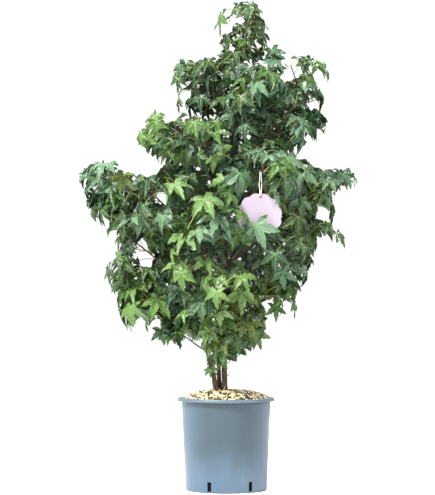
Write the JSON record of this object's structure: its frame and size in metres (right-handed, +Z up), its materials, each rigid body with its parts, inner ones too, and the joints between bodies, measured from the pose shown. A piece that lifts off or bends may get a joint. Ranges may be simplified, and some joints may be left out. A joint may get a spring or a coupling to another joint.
{
  "type": "sweetgum tree in pot",
  "caption": "Young multi-stemmed sweetgum with star-shaped leaves in a round tapered nursery pot topped with gravel.",
  "frame": {"origin": "centre of the flat underside of the pot", "axes": "+Z up along the pot's axis, -Y the front that the picture shows, +X the viewer's right"},
  "size_m": [0.82, 0.6065, 1.4053],
  "materials": {
    "pot_plastic": "satin",
    "gravel": "rough",
    "bark": "rough",
    "leaves": "satin",
    "tag_card": "matte",
    "tag_cord": "matte"
  },
  "bodies": {
    "root": {"bough_high_1": "bark", "bough_high_2": "bark", "bough_high_3": "bark", "bough_high_4": "bark", "bough_low_1": "bark", "bough_low_2": "bark", "bough_low_3": "bark", "bough_low_4": "bark", "bough_middle_1": "bark", "bough_middle_2": "bark", "bough_middle_3": "bark", "bough_middle_4": "bark", "bough_middle_5": "bark", "bough_middle_6": "bark", "bough_upper_2": "bark", "bough_upper_4": "bark", "bough_wide_1": "bark", "bough_wide_2": "bark", "bough_wide_3": "bark", "bough_wide_4": "bark", "bough_wide_5": "bark", "bough_wide_6": "bark", "foliage_foot_1": "leaves", "foliage_foot_2": "leaves", "foliage_foot_3": "leaves", "foliage_high_1": "leaves", "foliage_high_2": "leaves", "foliage_high_3": "leaves", "foliage_high_4": "leaves", "foliage_low_1": "leaves", "foliage_low_2": "leaves", "foliage_low_3": "leaves", "foliage_low_4": "leaves", "foliage_middle_1": "leaves", "foliage_middle_2": "leaves", "foliage_middle_3": "leaves", "foliage_middle_4": "leaves", "foliage_middle_5": "leaves", "foliage_middle_6": "leaves", "foliage_top": "leaves", "foliage_upper_1": "leaves", "foliage_upper_2": "leaves", "foliage_upper_3": "leaves", "foliage_upper_4": "leaves", "foliage_wide_1": "leaves", "foliage_wide_2": "leaves", "foliage_wide_3": "leaves", "foliage_wide_4": "leaves", "foliage_wide_5": "leaves", "foliage_wide_6": "leaves", "pot": "pot_plastic", "root_ball": "gravel", "stem_centre": "bark", "stem_left": "bark", "stem_right": "bark", "tag": "tag_card", "tag_string": "tag_cord"}
  },
  "joints": []
}
